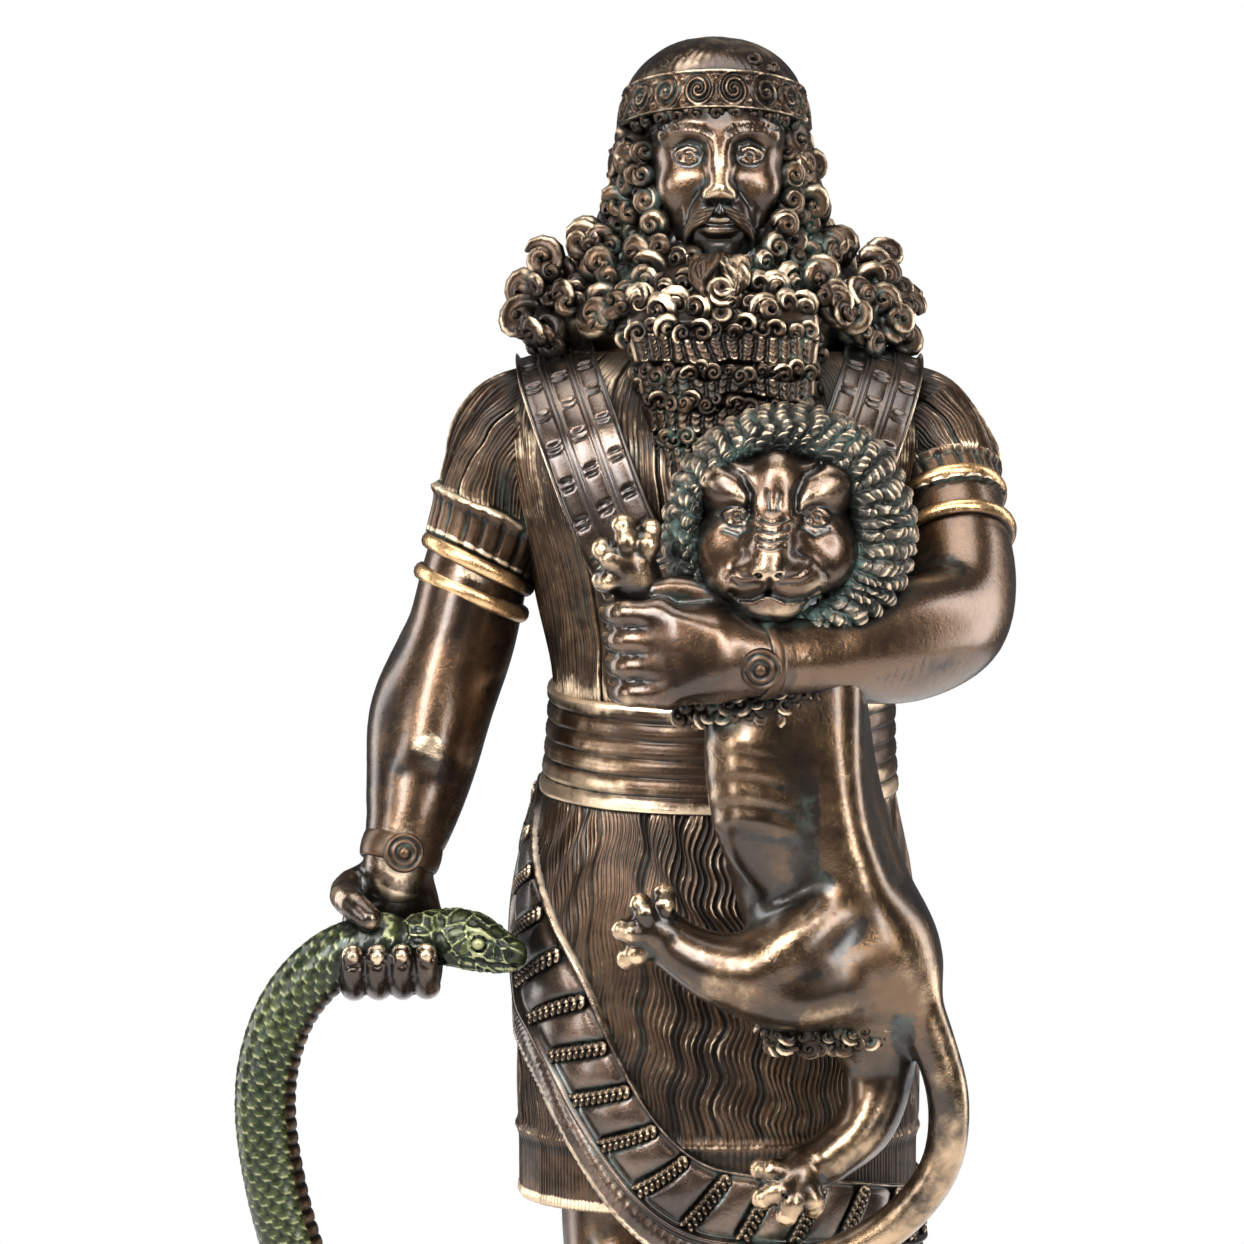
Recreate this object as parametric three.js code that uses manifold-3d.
// A souvenir statuette of an ancient hero. A bearded man in a wrapped, banded kilt holds a
// lion cub against his chest with the left arm and grips a snake in the right fist.
// He stands on a low plinth.
// Millimetres, +Z up. The front faces -Y. The origin is in the middle of the underside.
import * as THREE from 'three';
import { mergeVertices } from 'three/addons/utils/BufferGeometryUtils.js';
import Module from 'manifold-3d';

const wasm = await Module();
wasm.setup();

// Driving dimensions
const CROWN_HEIGHT = 265;
const PIECE_GAP = 0.3;
const JOIN_TOLERANCE = 0.2;
const PLINTH_WIDTH = 112;
const PLINTH_DEPTH = 84;
const PLINTH_HEIGHT = 19;
const KILT_HALF_WIDTH = 29.6;
const KILT_HALF_DEPTH = 24.4;
const BODY_SQUARENESS = 2.25;
const BELT_LOW = 152.6;
const BELT_HIGH = 168;
const BELT_RIDGES = 5;
const BELT_SAG = 2.2;
const BAND_ROW_SPACING = 7.5;
const STRAP_WIDTH = 12.4;
const STRAP_RIBS = 3;
const BEARD_COLUMNS = 13;
const SNAKE_RADIUS = 4.6;
const FINGER_RADIUS = 1.75;

// Heights that several parts share
const SOLE_HEIGHT = PLINTH_HEIGHT + PIECE_GAP;
const UNDERSKIRT_HEM = 91.3;
const UNDERSKIRT_RIDGE = 101.7;
const CHIN_HEIGHT = 231;
const EYE_HEIGHT = 246.6;
const FACE_X = -0.7;
const HAIR_X = -1.2;

const BRONZE = { color: 0x5a4030, roughness: 0.38, metalness: 0.85 };
const SNAKE_GREEN = { color: 0x3f5a2a, roughness: 0.45, metalness: 0.3 };

const point = (x, y, z) => new THREE.Vector3(x, y, z);
const radians = THREE.MathUtils.degToRad;
const X_AXIS = point(1, 0, 0);

// Closed skins

// A skin over equal rings of points. It closes on itself, or with a fan to each tip.
function skin(rings, { loop = false, tips = [] } = {}) {
  const count = rings[0].length;
  const points = rings.flat();
  const faces = [];
  const spans = loop ? rings.length : rings.length - 1;
  for (let i = 0; i < spans; i += 1) {
    const next = (i + 1) % rings.length;
    for (let j = 0; j < count; j += 1) {
      const k = (j + 1) % count;
      const corner = [i * count + j, i * count + k, next * count + k, next * count + j];
      faces.push(corner[0], corner[1], corner[2], corner[0], corner[2], corner[3]);
    }
  }
  if (!loop) {
    const ends = [rings[0], rings[rings.length - 1]];
    ends.forEach((ring, end) => {
      const start = end * (rings.length - 1) * count;
      points.push(tips[end] ?? middleOf(ring));
      for (let j = 0; j < count; j += 1) {
        const edge = [start + j, start + ((j + 1) % count)];
        if (end === 0) edge.reverse();
        faces.push(edge[0], edge[1], points.length - 1);
      }
    });
  }
  const geometry = new THREE.BufferGeometry().setFromPoints(points);
  geometry.setIndex(faces);
  return geometry;
}

function middleOf(ring) {
  const middle = point(0, 0, 0);
  ring.forEach((corner) => middle.add(corner));
  return middle.divideScalar(ring.length);
}

// A smooth curve through rows of [t, value, ...], read at t and held flat past both ends
function smooth(rows, t) {
  const last = rows.length - 1;
  if (t <= rows[0][0]) return rows[0].slice(1);
  if (t >= rows[last][0]) return rows[last].slice(1);
  let i = 0;
  while (rows[i + 1][0] < t) i += 1;
  const [from, to] = [rows[i], rows[i + 1]];
  const before = rows[Math.max(i - 1, 0)];
  const after = rows[Math.min(i + 2, last)];
  const span = to[0] - from[0];
  const s = (t - from[0]) / span;
  return from.slice(1).map((value, n) => {
    const k = n + 1;
    const slopeFrom = ((to[k] - before[k]) / (to[0] - before[0])) * span;
    const slopeTo = ((after[k] - from[k]) / (after[0] - from[0])) * span;
    const ease = s * s * (3 - 2 * s);
    const bend = s * (1 - s) * ((1 - s) * slopeFrom - s * slopeTo);
    return value + (to[k] - value) * ease + bend;
  });
}

// A round or oval limb through stations [x, y, z, radius, second radius]. Its rings sit at
// even steps, or at rows of [place along the stations, extra radius]. Its ends are pointed
// caps, or rounder ones with a shoulder each.
function limb(stations, { sides = 8, steps = stations.length, side = X_AXIS, at, shoulders } = {}) {
  const path = new THREE.CatmullRomCurve3(stations.map((s) => point(s[0], s[1], s[2])));
  const radii = stations.map((s, i) => [i, s[3], s[4] ?? s[3]]);
  const last = stations.length - 1;
  const even = Array.from({ length: steps + 1 }, (_, i) => [(i * last) / steps, 0]);
  const bow = radians(52);
  const rings = [];
  let across = side.clone();
  const addRing = (place, extra, shift, scale) => {
    const direction = path.getTangent(place / last);
    const [wide, deep] = smooth(radii, place).map((radius) => (radius + extra) * scale);
    const reach = shift * Math.min(...smooth(radii, place));
    const centre = path.getPoint(place / last).addScaledVector(direction, reach);
    across = across.clone().addScaledVector(direction, -across.dot(direction)).normalize();
    const up = direction.clone().cross(across);
    rings.push(Array.from({ length: sides }, (_, j) => {
      const turn = (2 * Math.PI * j) / sides;
      return centre.clone()
        .addScaledVector(across, wide * Math.cos(turn))
        .addScaledVector(up, deep * Math.sin(turn));
    }));
  };
  if (shoulders) addRing(0, 0, -Math.sin(bow), Math.cos(bow));
  (at ?? even).forEach(([place, extra]) => addRing(place, extra, 0, 1));
  if (shoulders) addRing(last, 0, Math.sin(bow), Math.cos(bow));
  const tips = [0, last].map((place) => {
    const reach = Math.min(...smooth(radii, place)) * (place ? 1 : -1);
    return path.getPoint(place / last).addScaledVector(path.getTangent(place / last), reach);
  });
  return skin(rings, { tips });
}

// A point of a flattened oval, a superellipse, at an angle from the front towards +X
function ovalPoint(angle, centreX, centreY, halfWidth, halfDepth, squareness) {
  const [s, c] = [Math.sin(angle), Math.cos(angle)];
  const round = (value) => Math.sign(value) * Math.abs(value) ** (2 / squareness);
  return [centreX + halfWidth * round(s), centreY - halfDepth * round(c)];
}

// An upright body of level oval sections, from rows [z, x, y, half width, half depth]
function column(rows, sides, squareness) {
  return skin(rows.map(([z, x, y, wide, deep]) => (
    Array.from({ length: sides }, (_, j) => {
      const angle = (2 * Math.PI * j) / sides;
      return point(...ovalPoint(angle, x, y, wide, deep, squareness), z);
    })
  )));
}

function ball(x, y, z, radiusX, radiusY = radiusX, radiusZ = radiusX, detail = 12) {
  const geometry = new THREE.SphereGeometry(1, detail, Math.ceil(detail * 0.6));
  geometry.rotateX(Math.PI / 2);
  return geometry.scale(radiusX, radiusY, radiusZ).translate(x, y, z);
}

// A small round knob, such as an eye or a brow
function nub(x, y, z, radiusX, radiusY = radiusX, radiusZ = radiusX) {
  const geometry = new THREE.IcosahedronGeometry(1, 0);
  return geometry.scale(radiusX, radiusY, radiusZ).translate(x, y, z);
}

// The front of a foot or paw, whose toes lie side by side: `ahead` is where they point,
// `across` is the way from one toe to the next
function toes({ root, ahead, across, count, radius, pitch = 1.6 * radius }) {
  const up = ahead.clone().cross(across).normalize();
  const points = 2 * count + 1;
  // Rows of [way ahead, share of the full width, height, depth of the clefts, lag of a cleft]
  const rows = [
    [-1.8, 0.64, 1.5, 0, 0],
    [2, 1, 1.3, 0.6, 0.2],
    [3.2, 0.94, 0.3, 0.4, 0.9],
  ];
  const rings = rows.map(([way, share, height, cleft, lag]) => {
    const place = (n, level, back) => root.clone()
      .addScaledVector(ahead, (way - back) * radius)
      .addScaledVector(across, share * pitch * (n / 2 - (points - 1) / 4))
      .addScaledVector(up, level * radius);
    const ring = [];
    for (let n = 0; n < points; n += 1) {
      const bow = 1 - 0.5 * ((2 * n) / (points - 1) - 1) ** 4;
      ring.push(n % 2 ? place(n, height, 0) : place(n, height * bow - cleft, lag));
    }
    ring.push(place(points - 1.4, -1, lag), place(0.4, -1, lag));
    return ring;
  });
  return skin(rings);
}

// Joining and cutting

function solid(geometry) {
  const bare = new THREE.BufferGeometry();
  bare.setAttribute('position', geometry.getAttribute('position'));
  bare.setIndex(geometry.index);
  const merged = mergeVertices(bare, 1e-4);
  const corners = merged.getAttribute('position').array;
  const faces = Uint32Array.from(merged.index.array);
  if (enclosedVolume(corners, faces) < 0) faces.reverse();
  return new wasm.Manifold(
    new wasm.Mesh({
      numProp: 3,
      vertProperties: Float32Array.from(corners),
      triVerts: faces,
      tolerance: JOIN_TOLERANCE,
    }),
  );
}

function enclosedVolume(corners, faces) {
  let sixfold = 0;
  for (let i = 0; i < faces.length; i += 3) {
    const [a, b, c] = [0, 1, 2].map((n) => point().fromArray(corners, 3 * faces[i + n]));
    sixfold += a.dot(b.cross(c));
  }
  return sixfold;
}

const joined = (geometries) => geometries.map(solid).reduce((all, next) => all.add(next));

// The biggest body of a solid, which leaves out crumbs and sealed hollows
function mainBody(manifold) {
  const bodies = manifold.decompose();
  return bodies.reduce((big, body) => (body.volume() > big.volume() ? body : big));
}

function meshOf(manifold, name, look) {
  const { vertProperties, triVerts } = mainBody(manifold).getMesh();
  const geometry = new THREE.BufferGeometry();
  geometry.setAttribute('position', new THREE.BufferAttribute(vertProperties, 3));
  geometry.setIndex(new THREE.BufferAttribute(triVerts, 1));
  geometry.computeVertexNormals();
  const mesh = new THREE.Mesh(geometry, new THREE.MeshStandardMaterial(look));
  mesh.name = name;
  return mesh;
}

// The body in one column: [z, x, y, half width, half depth]

const BODY = [
  [UNDERSKIRT_HEM, -0.6, 0, KILT_HALF_WIDTH, KILT_HALF_DEPTH],
  [128, -0.6, 0, KILT_HALF_WIDTH, KILT_HALF_DEPTH],
  [141, -0.6, 0, KILT_HALF_WIDTH - 1.2, KILT_HALF_DEPTH - 1.4],
  [BELT_LOW, -0.5, 0, KILT_HALF_WIDTH - 3.6, KILT_HALF_DEPTH - 3.8],
  [BELT_HIGH, 0, 0, 25.2, 19.4],
  [186, -0.5, -0.3, 27.8, 20.6],
  [196, -0.8, -0.8, 30, 22],
  [203, -0.8, -0.6, 31.6, 22],
  [209, -0.8, 0.2, 31.6, 20],
  [214, -0.8, 1.2, 29, 17],
  [218, -0.6, 2, 23.5, 14.5],
];

// A point on the body's surface, standing proud of it by a given amount
function bodyPoint(angle, z, proud) {
  const [x, y, wide, deep] = smooth(BODY, z);
  return point(...ovalPoint(angle, x, y, wide + proud, deep + proud, BODY_SQUARENESS), z);
}

function bodyColumn() {
  const sides = 16;
  const levels = [[UNDERSKIRT_HEM, 0.7], [UNDERSKIRT_HEM + 1.6, 0]];
  levels.push([UNDERSKIRT_RIDGE - 1, 0], [UNDERSKIRT_RIDGE, 0.8], [UNDERSKIRT_RIDGE + 1, 0]);
  levels.push([128, 0.4], [141, 0.5]);
  for (let i = 0; i <= BELT_RIDGES * 2; i += 1) {
    const z = BELT_LOW + ((BELT_HIGH - BELT_LOW) * i) / (BELT_RIDGES * 2);
    levels.push([z, i % 2 ? 2 : 0.9]);
  }
  BODY.filter((row) => row[0] > BELT_HIGH).forEach((row) => levels.push([row[0], 0]));
  const rings = levels.map(([z, proud]) => {
    const belted = z >= BELT_LOW && z <= BELT_HIGH;
    return Array.from({ length: sides }, (_, j) => {
      const angle = (2 * Math.PI * j) / sides;
      const spot = bodyPoint(angle, z, proud);
      spot.z -= belted ? BELT_SAG * Math.cos(angle) : 0;
      return spot;
    });
  });
  return skin(rings);
}

// Heights of the wrap's two edges around the body: [degrees from the front towards +X,
// height of the inner rail, height of the outer rail]
const WRAP_EDGES = [
  [-120, 144, 132],
  [-100, 154, 143],
  [-75, 145, 129],
  [-52, 133.2, 110.5],
  [-39, 125.7, 98.5],
  [-28, 115.7, 92.3],
  [-18, 107, 89.8],
  [-8, 101, 88.1],
  [2, 98, 87.2],
  [34, 95.9, 86.2],
  [68, 93.9, 85],
  [110, 95, 86],
  [150, 102, 92.5],
  [185, 114, 103.5],
  [215, 130, 118],
  [240, 144, 132],
  [260, 154, 143],
  [285, 145, 129],
];

const wrapEdges = (angle) => smooth(WRAP_EDGES, THREE.MathUtils.radToDeg(angle));

// The wrap's border, across from the inner rail at 0 to the outer rail at 1, and its fringe.
// Between the rails it rises to a row of beads wherever one crosses it.
const BORDER = [
  [0, -2.6],
  [0, 1.9],
  [0.12, 1],
  [0.86, 1],
  [0.96, 2.3],
  [1.4, 0.9],
  [1.4, -2.6],
];
const BEAD_ROW_PROUD = 0.9;
const BEAD_ROW_HALF_WIDTH = 1.2;

// A section of the border at right angles to its inner rail
function borderSection(angle, raised) {
  const [inner, outer] = wrapEdges(angle);
  const turn = radians(8);
  const run = bodyPoint(angle + turn, inner, 1).distanceTo(bodyPoint(angle - turn, inner, 1));
  const rise = wrapEdges(angle + turn)[0] - wrapEdges(angle - turn)[0];
  const slope = Math.atan2(rise, run);
  const width = (inner - outer) * Math.cos(slope);
  return BORDER.map(([across, proud], n) => {
    const sideways = (width * across * Math.sin(slope) * 2 * turn) / run;
    const lift = raised && (n === 2 || n === 3) ? BEAD_ROW_PROUD : 0;
    const z = inner - width * across * Math.cos(slope);
    return bodyPoint(angle + sideways, z, proud + lift);
  });
}

// The front half has its rows of beads. The plain back half has wider steps.
function wrapBorder() {
  const sections = [];
  const stride = radians(0.5);
  let travelled = 0;
  const front = [radians(-88), radians(84)];
  for (let angle = front[0]; angle < front[1]; angle += stride) {
    const here = bodyPoint(angle, wrapEdges(angle)[0], 1);
    const ahead = bodyPoint(angle + stride, wrapEdges(angle + stride)[0], 1);
    const before = travelled;
    travelled += here.distanceTo(ahead);
    [-1, 0, 1].forEach((offset) => {
      const stop = BAND_ROW_SPACING / 2 + offset * BEAD_ROW_HALF_WIDTH;
      const passed = Math.floor((travelled - stop) / BAND_ROW_SPACING);
      if (passed > Math.floor((before - stop) / BAND_ROW_SPACING)) {
        sections.push(borderSection(angle, offset === 0));
      }
    });
  }
  const backSteps = 6;
  for (let i = 1; i < backSteps; i += 1) {
    const turned = ((front[0] + 2 * Math.PI - front[1]) * i) / backSteps;
    sections.push(borderSection(front[1] + turned, false));
  }
  return skin(sections, { loop: true });
}

// The two harness straps: three ribs side by side, each from behind the cub up over one
// shoulder and down the back to the belt. Rows of the right one's middle line: [step, x, y, z]
const STRAP_LINE = [
  [0, -6.4, -21.4, 172],
  [1, -10.6, -21.4, 182],
  [2, -16.4, -21.8, 193.5],
  [3, -21.2, -18.6, 206],
  [4, -24.3, -9.5, 214.6],
  [5, -24.6, 0.5, 217.4],
  [6, -23.5, 11, 214.6],
  [7, -19.5, 19.8, 206],
  [8, -14, 22, 193.5],
  [9, -8, 20.3, 178],
  [10, -4, 19.3, 164],
];

function strapPart(mirror) {
  const profile = [];
  const rib = STRAP_WIDTH / STRAP_RIBS;
  for (let i = 0; i < STRAP_RIBS; i += 1) {
    const left = -STRAP_WIDTH / 2 + i * rib;
    profile.push([left, 0.5], [left + rib / 2, 1.7]);
  }
  profile.push([STRAP_WIDTH / 2, 0.5], [STRAP_WIDTH / 2, -2.5], [-STRAP_WIDTH / 2, -2.5]);
  const steps = 7;
  const last = STRAP_LINE.length - 1;
  const rings = Array.from({ length: steps + 1 }, (_, i) => {
    const at = (last * i) / steps;
    const here = point(...smooth(STRAP_LINE, at));
    const ahead = point(...smooth(STRAP_LINE, at + 0.05));
    const behind = point(...smooth(STRAP_LINE, at - 0.05));
    const along = ahead.sub(behind).normalize();
    const axis = point(-4, 0, 190);
    const outward = here.clone().sub(axis).setX(here.x * 0.3);
    outward.addScaledVector(along, -outward.dot(along)).normalize();
    const across = along.clone().cross(outward);
    return profile.map(([side, proud]) => {
      const spot = here.clone().addScaledVector(across, side).addScaledVector(outward, proud);
      return spot.setX(mirror ? -spot.x - 1 : spot.x);
    });
  });
  return skin(rings);
}

// Arms, sleeves and jewellery

const RIGHT_ARM = [
  [-30.6, 1, 206, 9.5],
  [-33.8, 0.8, 197, 8.5],
  [-36.6, 0.5, 186, 8],
  [-39.2, 0, 175, 8.3],
  [-42.6, -2, 165.7, 8.6],
  [-44.6, -4, 156.6, 7.9],
  [-46.4, -6.4, 149, 6.9],
  [-48.4, -8.2, 142.5, 5.5],
];

const LEFT_ARM = [
  [29.4, 1, 206.4, 9.9],
  [32.2, -3, 199, 8.6],
  [34.2, -9, 191.5, 8],
  [35, -15, 184, 8.2],
  [32.8, -22, 178.6, 8.4],
  [25.2, -31, 177, 8.4],
  [17.5, -39, 176.3, 7.5],
  [10.5, -45, 175.7, 6.2],
  [4.5, -48.6, 175.4, 5.3],
];

// Rings of a sleeved arm as rows of [place along the arm, extra radius]: the sleeve with
// its hem, two armbands below it and a bracelet
function armRings({ sleeveEnd, bands, wrist, last }) {
  const ridge = (place, proud) => [[place - 0.12, 0], [place, proud], [place + 0.12, 0]];
  const rings = [[0, 0.7], [sleeveEnd - 0.9, 1.1], [sleeveEnd - 0.14, 1.2]];
  rings.push([sleeveEnd - 0.06, 2], [sleeveEnd, 1.6], [sleeveEnd + 0.04, 0]);
  bands.forEach((place) => rings.push(...ridge(place, 1.2)));
  const clear = bands[bands.length - 1] + 0.5;
  for (let place = clear; place < wrist - 0.4; place += 1.1) rings.push([place, 0]);
  return [...rings, ...ridge(wrist, 0.9), [last, 0]];
}

// The round ornament on each bracelet
function rosette(x, y, z, outward) {
  const outline = [[0, -1.5], [3, -0.8], [2.6, 0.8], [0, 0.3]];
  const disc = new THREE.LatheGeometry(outline.map(([r, h]) => new THREE.Vector2(r, h)), 8);
  const turn = new THREE.Quaternion().setFromUnitVectors(point(0, 1, 0), outward.normalize());
  return disc.applyQuaternion(turn).translate(x, y, z);
}

// Four fingers side by side that close round a bar. The bar runs along `row`, and the
// fingers go round it from angle `from` to angle `to`, from `forward` towards `up`.
function closedFingers({ first, row, spacing, forward, up, barRadius, from, to, radius }) {
  const near = barRadius + 0.35;
  const points = 9;
  const steps = 4;
  const rings = Array.from({ length: steps + 1 }, (_, step) => {
    const place = (n, distance, share) => {
      const turn = radians(from + (to - from) * share);
      return first.clone()
        .addScaledVector(row, (spacing * (n - 1)) / 2)
        .addScaledVector(forward, distance * Math.cos(turn))
        .addScaledVector(up, distance * Math.sin(turn));
    };
    const tip = step === steps;
    const share = step / steps;
    const thick = radius * (tip ? 1.3 : 2);
    const ring = [];
    for (let n = 0; n < points; n += 1) {
      const cleft = n % 2 ? 0 : radius * 0.8;
      const short = n % 2 ? 0 : share * 0.06;
      ring.push(place(n, near + thick - cleft, share - short));
    }
    ring.push(place(points - 1.2, near, share * 0.96), place(0.2, near, share * 0.96));
    return ring;
  });
  return skin(rings);
}

const RIGHT_GRIP = point(-49.3, -12.6, 130.6);

function rightHand() {
  const fingers = closedFingers({
    first: RIGHT_GRIP.clone().add(point(-5.4, 0, -0.4)),
    row: point(1, 0, 0.02),
    spacing: 3.6,
    forward: point(0, -1, 0),
    up: point(0, 0, 1),
    barRadius: SNAKE_RADIUS,
    from: -200,
    to: -2,
    radius: FINGER_RADIUS,
  });
  const palm = limb([
    [-48.4, -8.4, 141.5, 5.2],
    [-49.2, -6.6, 136.5, 6.6, 4.2],
    [-49.5, -5, 130.5, 7.6, 3],
  ], { sides: 8, steps: 2, shoulders: true });
  const thumb = limb([
    [-54, -6.2, 139, 2.5],
    [-56.2, -9.4, 137.8, 2.3],
    [-55.2, -13.6, 136.8, 2.1],
    [-53, -17.2, 134.6, 1.9],
  ], { sides: 5, steps: 3, shoulders: true });
  return [palm, thumb, fingers];
}

function leftHand() {
  const fingers = closedFingers({
    first: point(-11.6, -46.2, 182),
    row: point(0.1, 0, -1),
    spacing: 3.75,
    forward: point(1, -0.25, 0),
    up: point(-0.25, -1, 0),
    barRadius: 3.1,
    from: 62,
    to: 250,
    radius: 1.85,
  });
  const back = limb([
    [4.5, -48.6, 175.4, 5.3, 5],
    [-2, -50, 175.9, 6.6, 4.6],
    [-8.6, -50.4, 176.6, 7.6, 3.2],
  ], { sides: 8, steps: 2, side: point(0, 0, 1), shoulders: true });
  return [back, fingers];
}

function armParts() {
  return [
    limb(RIGHT_ARM, {
      sides: 8,
      shoulders: true,
      at: armRings({ sleeveEnd: 1.6, bands: [1.85, 2.25], wrist: 6.7, last: 7 }),
    }),
    limb(LEFT_ARM, {
      sides: 8,
      shoulders: true,
      at: armRings({ sleeveEnd: 1.5, bands: [1.8, 2.25], wrist: 7.5, last: 8 }),
    }),
    rosette(-47.3, -13.6, 144, point(0.2, -1, 0.1)),
    rosette(4.6, -54.2, 174.4, point(-0.1, -1, -0.1)),
    ...rightHand(),
    ...leftHand(),
  ];
}

// Head, hair and beard

// The face in one column: [z, x, y, half width, half depth]
const FACE = [
  [CHIN_HEIGHT - 3, FACE_X, -5, 5, 6.5],
  [CHIN_HEIGHT + 1, FACE_X, -4, 7.4, 9.2],
  [CHIN_HEIGHT + 6, FACE_X, -3.4, 9, 10],
  [CHIN_HEIGHT + 11, FACE_X, -3, 10.2, 10.2],
  [EYE_HEIGHT, FACE_X, -3, 10.8, 9.4],
  [EYE_HEIGHT + 3.6, FACE_X, -3, 11, 10.6],
  [EYE_HEIGHT + 9, FACE_X, -2.4, 10.6, 10.6],
];

function faceParts() {
  const nose = limb([
    [FACE_X, -12.2, 248.8, 1.1],
    [FACE_X, -13.8, 245, 1.2],
    [FACE_X, -14.8, 242.6, 1.7],
  ], { sides: 5, steps: 2 });
  const eyes = [-1, 1].map((hand) => (
    nub(FACE_X + hand * 4.4, -11.4, EYE_HEIGHT, 2, 1.3, 1.2)
  ));
  const mouth = nub(FACE_X, -13, 236.3, 2.6, 1.2, 1);
  return [column(FACE, 10, 2.1), nose, mouth, ...eyes];
}

// The hair in one column, from the shoulders to the crown, with the headband on it. The
// headband's rows rise towards the front, and the lower rows stand out in staggered locks:
// [z, y, half width, half depth, rise in front, how far the locks stand out]
const HAIR = [
  [216, 5, 21, 14, 0, 0],
  [219.4, 4.6, 29.4, 19.4, 0, 2],
  [222.6, 4.6, 28, 18.6, 0, 0],
  [226, 4.8, 29, 19.8, 0, -2],
  [229, 5, 25.2, 18, 0, 0],
  [231.6, 5, 21.6, 18, 0, 2],
  [234.6, 5, 17, 16, 0, 0],
  [238, 5, 15.8, 16.4, 0, -1.7],
  [241, 4.6, 14.2, 15, 0, 0],
  [244, 4.2, 14.8, 15.6, 0, 1.5],
  [247.4, 3.6, 13.4, 14.6, 0, 0],
  [250.6, 2.4, 14.6, 16.4, 3.2, 0],
  [251.8, 2.4, 14, 15.8, 3.2, 0],
  [256.6, 2.2, 14, 16, 3.2, 0],
  [256.9, 2.2, 12.6, 14.6, 3.2, 0],
  [260.6, 2.4, 9.8, 11.2, 1.6, 0],
  [CROWN_HEIGHT - 1.2, 2.4, 5.2, 6, 0.4, 0],
];

function hairColumn() {
  const sides = 22;
  const rings = HAIR.map(([z, y, wide, deep, rise, locks]) => (
    Array.from({ length: sides }, (_, j) => {
      const angle = (2 * Math.PI * j) / sides;
      const proud = j % 2 ? locks : -locks;
      const flat = ovalPoint(angle, HAIR_X, y, wide + proud / 2, deep + proud / 2, 2);
      return point(...flat, z + rise * Math.cos(angle));
    })
  ));
  return skin(rings, { tips: [undefined, point(HAIR_X, 2, CROWN_HEIGHT)] });
}

function headParts() {
  return [...faceParts(), hairColumn(), beard()];
}

// The beard in one piece: snail curls over the jaw, then tiers of upright plaits with rows of
// small curls between them: [z, half width, front, depth of the clefts, plaits to a lobe]
const BEARD = [
  [200, 12.4, -23.6, 0.2, 1],
  [201.6, 12.8, -24.8, 1.1, 1],
  [207.6, 13.5, -24.8, 1.4, 1],
  [209, 13.6, -24, 0.5, 1],
  [215, 14.2, -23.8, 1.4, 1],
  [221.6, 15, -22, 0.8, 1],
  [224.8, 14, -21, 2.6, 2],
  [227, 12.4, -17.4, 0, 2],
  [229.6, 10.6, -17, 2.4, 2],
  [232, 9, -12.8, 0, 2],
];
const BEARD_LOW_X = 1.2;

function beard() {
  const points = BEARD_COLUMNS * 2 + 1;
  const rings = BEARD.map(([z, half, front, cleft, span], row) => {
    const x = THREE.MathUtils.mapLinear(z, BEARD[0][0], CHIN_HEIGHT, BEARD_LOW_X, FACE_X);
    const ring = [];
    for (let i = 0; i < points; i += 1) {
      const across = (2 * i) / (points - 1) - 1;
      const roundOff = 4.6 * across ** 4 + 1.4 * across ** 2;
      const lag = row % 2 ? 0 : span - 1;
      const lobe = Math.abs(Math.sin((Math.PI * (i + lag)) / (2 * span)));
      ring.push(point(x + half * across, front + roundOff + cleft * (1 - lobe), z));
    }
    ring.push(point(x + half * 0.9, -9, z), point(x - half * 0.9, -9, z));
    return ring;
  });
  return skin(rings);
}

// The lion cub

const CUB_BODY = [
  [8.6, -36.5, 176, 11.6, 10.4],
  [9.2, -36, 166, 12.2, 11.4],
  [10.2, -35, 157, 12.6, 11.6],
  [12.2, -34.6, 147, 12.8, 12],
  [15.8, -34.4, 136.6, 13, 12.4],
  [19.6, -34, 128, 11.2, 11],
];

const CUB_TAIL = [
  [21, -36, 134, 4],
  [25.6, -41, 128.6, 3.6],
  [30.6, -41, 118, 3.1],
  [32.2, -40, 109, 3],
  [30.6, -38.6, 100, 3],
  [25.6, -37, 93.6, 3],
  [18.6, -35, 88, 3],
  [12, -31.6, 84, 3.6],
  [7, -28.6, 81.6, 2.8],
];

// A leg that ends in a paw with four toes
function cubLeg(stations, root, ahead, across) {
  return [
    limb(stations, { sides: 7, steps: 4 }),
    toes({ root, ahead, across, count: 4, radius: 1.9 }),
  ];
}

function cubLegs() {
  const slant = (x, z) => point(x, 0, z).normalize();
  return [
    ...cubLeg([
      [19, -38, 132, 10],
      [10.5, -43, 129.6, 7.4],
      [1.5, -44.6, 127.4, 5.2],
      [-4.4, -44, 129.6, 4.1],
      [-9, -42.6, 134, 3.7],
    ], point(-10.6, -42, 136), slant(-0.75, 0.66), slant(-0.66, -0.75)),
    ...cubLeg([
      [20.6, -35, 124, 8.4],
      [22, -35.6, 114.6, 5.6],
      [19.6, -37, 105.6, 4.3],
      [14, -38.6, 101.8, 3.8],
    ], point(10, -39.4, 99.4), slant(-0.85, -0.5), slant(0.5, -0.85)),
    ...cubLeg([
      [3, -38, 181, 5],
      [-5.6, -42, 177, 4.2],
      [-11, -45.6, 178.4, 3.1],
      [-12.6, -46.2, 184.6, 3],
    ], point(-13.6, -46.4, 189), slant(-0.22, 1), slant(-1, -0.22)),
  ];
}

// The mane: flattened ball of locks that run back from the face
const MANE = { x: 9.1, y: -37, z: 193, wide: 17.6, deep: 12.5, tall: 17.8 };
const CUB_FACE = { x: 6.9, y: -43, z: 192.6 };

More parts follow.
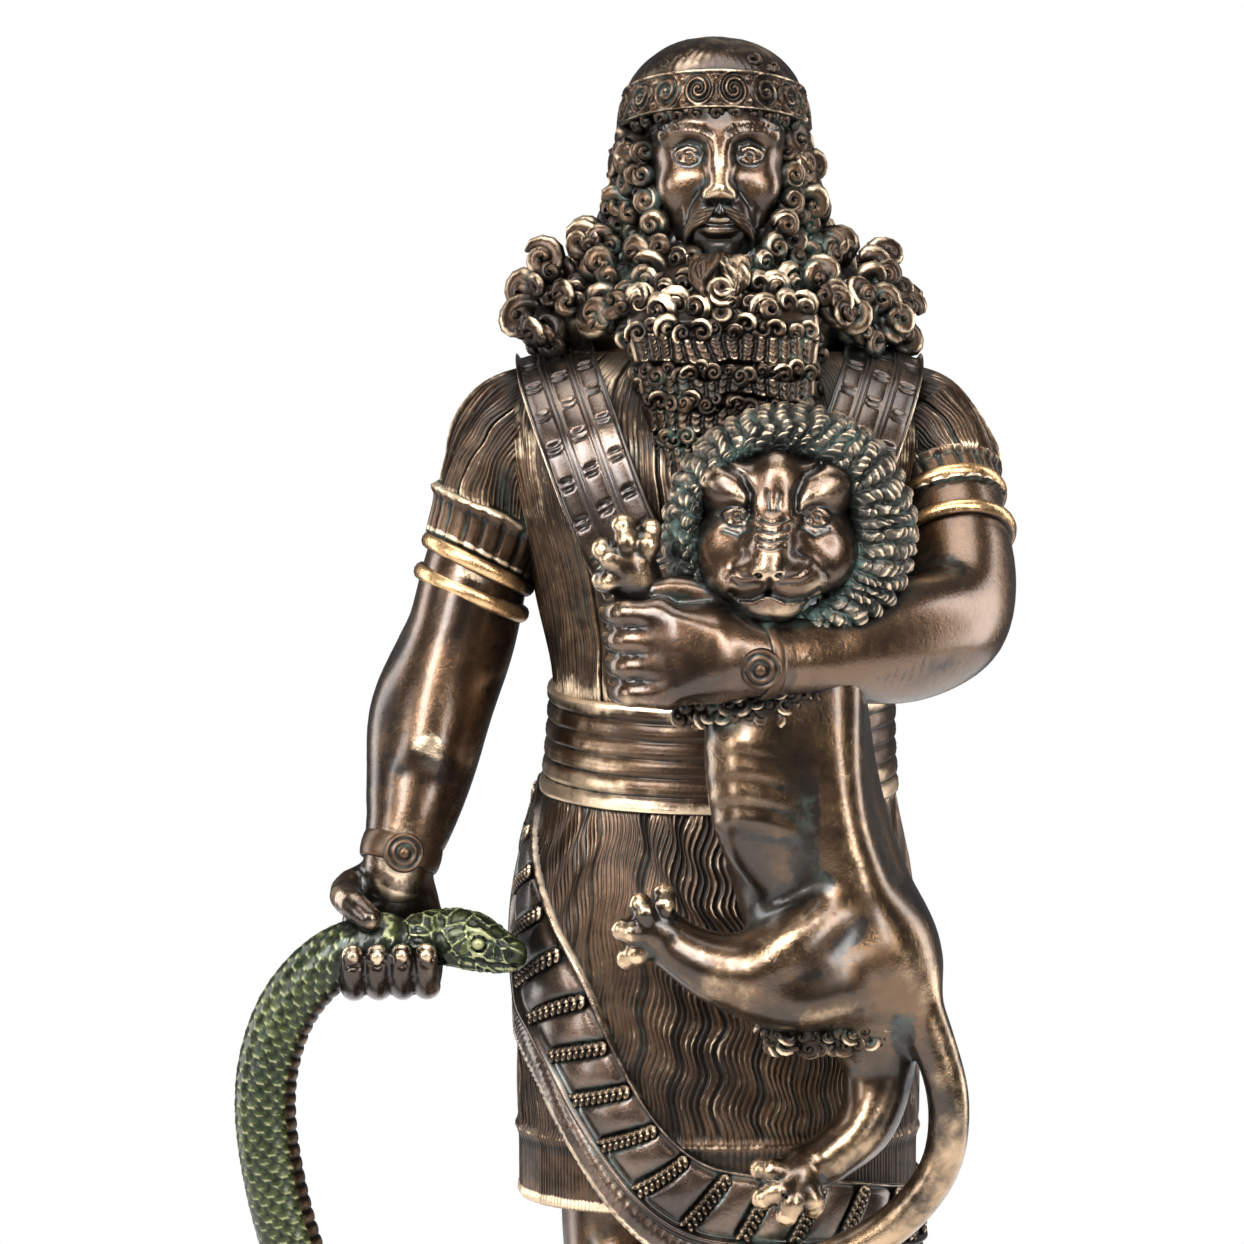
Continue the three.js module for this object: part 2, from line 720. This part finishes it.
function maneBall() {
  const locks = 12;
  const bands = 6;
  const rings = [];
  for (let i = 1; i < bands; i += 1) {
    const fall = (Math.PI * i) / bands;
    rings.push(Array.from({ length: locks * 2 }, (_, j) => {
      const turn = (Math.PI * j) / locks;
      const groove = j % 2 ? 0.94 : 1.03;
      const reach = Math.sin(fall) * groove;
      return point(
        MANE.x + MANE.wide * reach * Math.sin(turn),
        MANE.y - MANE.deep * Math.cos(fall),
        MANE.z + MANE.tall * reach * Math.cos(turn),
      );
    }));
  }
  const tips = [-1, 1].map((end) => point(MANE.x, MANE.y + end * MANE.deep, MANE.z));
  return skin(rings, { tips });
}

function cubHead() {
  const { x, y, z } = CUB_FACE;
  const parts = [
    ball(x, y, z, 11.6, 9, 11.4, 10),
    nub(x - 1, y - 8, z - 8.4, 3.6, 3.2, 2.6),
    limb([
      [x - 0.4, y - 8.2, z + 5.6, 2],
      [x - 0.7, y - 10.6, z - 0.6, 2.4],
      [x - 1, y - 12.4, z - 3.4, 2.1],
    ], { sides: 5, steps: 2 }),
  ];
  [-1, 1].forEach((hand) => {
    parts.push(
      ball(x - 0.8 + hand * 3, y - 9.8, z - 5.6, 3.5, 3.1, 3, 6),
      nub(x - 0.4 + hand * 5.2, y - 7.4, z + 2.6, 2, 1.5, 1.7),
    );
  });
  return parts;
}

function cubParts() {
  return [
    limb(CUB_BODY, { sides: 11, steps: 6, shoulders: true }),
    limb(CUB_TAIL, { sides: 6, steps: 10 }),
    maneBall(),
    ...cubHead(),
    ...cubLegs(),
  ];
}

// Legs and sandals

const LEG_LINES = {
  right: { x: -15.2, forward: 0, turn: -8 },
  left: { x: 13, forward: -5, turn: 8 },
};

function legParts({ x, forward, turn }) {
  const lean = Math.sign(x);
  const leg = limb([
    [x, forward, 96, 9.4],
    [x, forward, 82, 8.8],
    [x + lean * 0.6, forward + 1.6, 68, 8.7],
    [x + lean, forward + 2.2, 52, 6.6],
    [x + lean * 0.8, forward + 2.4, 36, 4.9],
    [x + lean * 0.6, forward + 2.6, 27, 5],
  ], {
    sides: 8,
    at: [[0, 0], [1, 0], [2, 0], [3, 0], [3.9, 0], [4.1, 0.8], [4.3, 0], [5, 0]],
  });
  const heel = radians(turn);
  const place = (across, ahead, z) => {
    const side = across * Math.cos(heel) + ahead * Math.sin(heel);
    const depth = across * Math.sin(heel) - ahead * Math.cos(heel);
    return [x + lean * 0.6 + side, forward + 3 + depth, z];
  };
  const foot = limb([
    [...place(0, -4, 26), 5],
    [...place(0, 6, 27), 5.2, 5.4],
    [...place(-lean * 0.6, 15, 24.6), 5.9, 3.6],
    [...place(-lean * 0.8, 22, 23), 6.2, 2.6],
  ], { sides: 8, at: [[0, 0], [1, 0], [1.6, 0], [1.8, 0.7], [2, 0], [3, 0]], shoulders: true });
  const front = toes({
    root: point(...place(-lean * 1.2, 23, 23)),
    ahead: point(Math.sin(heel), -Math.cos(heel), 0),
    across: point(Math.cos(heel), Math.sin(heel), 0),
    count: 5,
    radius: 1.5,
    pitch: 2.5,
  });
  return [leg, foot, front, sandalSole(lean, heel, x + lean * 0.6, forward + 3)];
}

function sandalSole(lean, turn, x, y) {
  const outline = new THREE.Shape();
  outline.moveTo(-4.6, -8);
  outline.quadraticCurveTo(0, -12.5, 4.6, -8);
  outline.bezierCurveTo(5, 4, 7.4, 12, 7.2, 22);
  outline.quadraticCurveTo(5.4, 31, -lean * 2, 31);
  outline.quadraticCurveTo(-7.4, 29, -7.2, 22);
  outline.bezierCurveTo(-7.4, 12, -5, 4, -4.6, -8);
  const slab = new THREE.ExtrudeGeometry(outline, {
    depth: 2.4, bevelEnabled: false, curveSegments: 2,
  });
  return slab.rotateZ(Math.PI + turn).translate(x, y, SOLE_HEIGHT);
}

// The snake rises from its tail on the plinth, arcs out to the side and passes through the
// fist, where its head looks in towards the kilt.
const SNAKE = [
  [24, -33.6, 20.6, 0.8],
  [15, -35.4, 21.4, 1.8],
  [3, -36.4, 22.3, 2.7],
  [-11, -36.6, 23, 3.4],
  [-26, -35, 23.6, 4],
  [-37.5, -28.6, 24.6, 4.4],
  [-43, -19.6, 30.6, SNAKE_RADIUS],
  [-47.5, -14, 42, SNAKE_RADIUS],
  [-54, -12, 58, SNAKE_RADIUS],
  [-61, -12, 75.4, SNAKE_RADIUS],
  [-67, -12, 93.3, SNAKE_RADIUS],
  [-69, -12, 108.3, SNAKE_RADIUS],
  [-65.4, -12, 120, SNAKE_RADIUS],
  [-58, -12.4, 128.2, SNAKE_RADIUS],
  [-49.3, -12.6, 130.6, SNAKE_RADIUS],
  [-43.4, -13, 131.2, 4.1],
  [-40.6, -13.5, 131.3, 4, 3.8],
  [-37.8, -14.1, 130.8, 4.7, 4.1],
  [-35, -14.9, 129.6, 4.3, 3.6],
  [-32.4, -15.8, 128.2, 3, 2.3],
];

function snakeParts(extra = 0) {
  const swollen = SNAKE.map(([x, y, z, wide, tall = wide]) => (
    [x, y, z, wide + extra, tall + extra]
  ));
  const [browX, browY, browZ] = [-36.6, -14.3, 132];
  const brows = [-1, 1].map((hand) => (
    nub(browX, browY + hand * 2.6, browZ, 1.9 + extra, 1.5 + extra, 1.5 + extra)
  ));
  const last = SNAKE.length - 1;
  const bodyEnd = last - 5;
  const steps = 20;
  const at = Array.from({ length: steps + 1 }, (_, i) => [(bodyEnd * i) / steps, 0]);
  for (let place = bodyEnd + 1; place <= last; place += 1) at.push([place, 0]);
  return [limb(swollen, { sides: 7, side: point(0, 1, 0), at, shoulders: true }), ...brows];
}

// The plinth: square steps and hollows from the underside up: [height, inset]
const PLINTH_STEPS = [
  [0, 1],
  [1, 0],
  [4, 0],
  [6, 2.6],
  [14, 2.6],
  [16, 0.4],
  [18.4, 0.4],
  [PLINTH_HEIGHT, 1],
];

function plinthPart() {
  const corner = 1.6;
  const rings = PLINTH_STEPS.map(([z, inset]) => {
    const x = PLINTH_WIDTH / 2 - inset;
    const y = PLINTH_DEPTH / 2 - inset;
    const quarter = [[x, y - corner], [x - corner, y]];
    const ring = [];
    for (const [signX, signY] of [[1, 1], [-1, 1], [-1, -1], [1, -1]]) {
      const spots = signX * signY > 0 ? quarter : [...quarter].reverse();
      spots.forEach(([px, py]) => ring.push(point(signX * px, signY * py, z)));
    }
    return ring;
  });
  return skin(rings);
}

// The whole statuette

const figure = joined([
  bodyColumn(),
  wrapBorder(),
  strapPart(false),
  strapPart(true),
  ...armParts(),
  ...headParts(),
  ...cubParts(),
  ...legParts(LEG_LINES.right),
  ...legParts(LEG_LINES.left),
]).subtract(joined(snakeParts(PIECE_GAP)));

const statuette = new THREE.Group();
statuette.add(meshOf(figure, 'figure', BRONZE));
statuette.add(meshOf(joined(snakeParts()), 'snake', SNAKE_GREEN));
statuette.add(meshOf(solid(plinthPart()), 'plinth', BRONZE));

export default statuette;
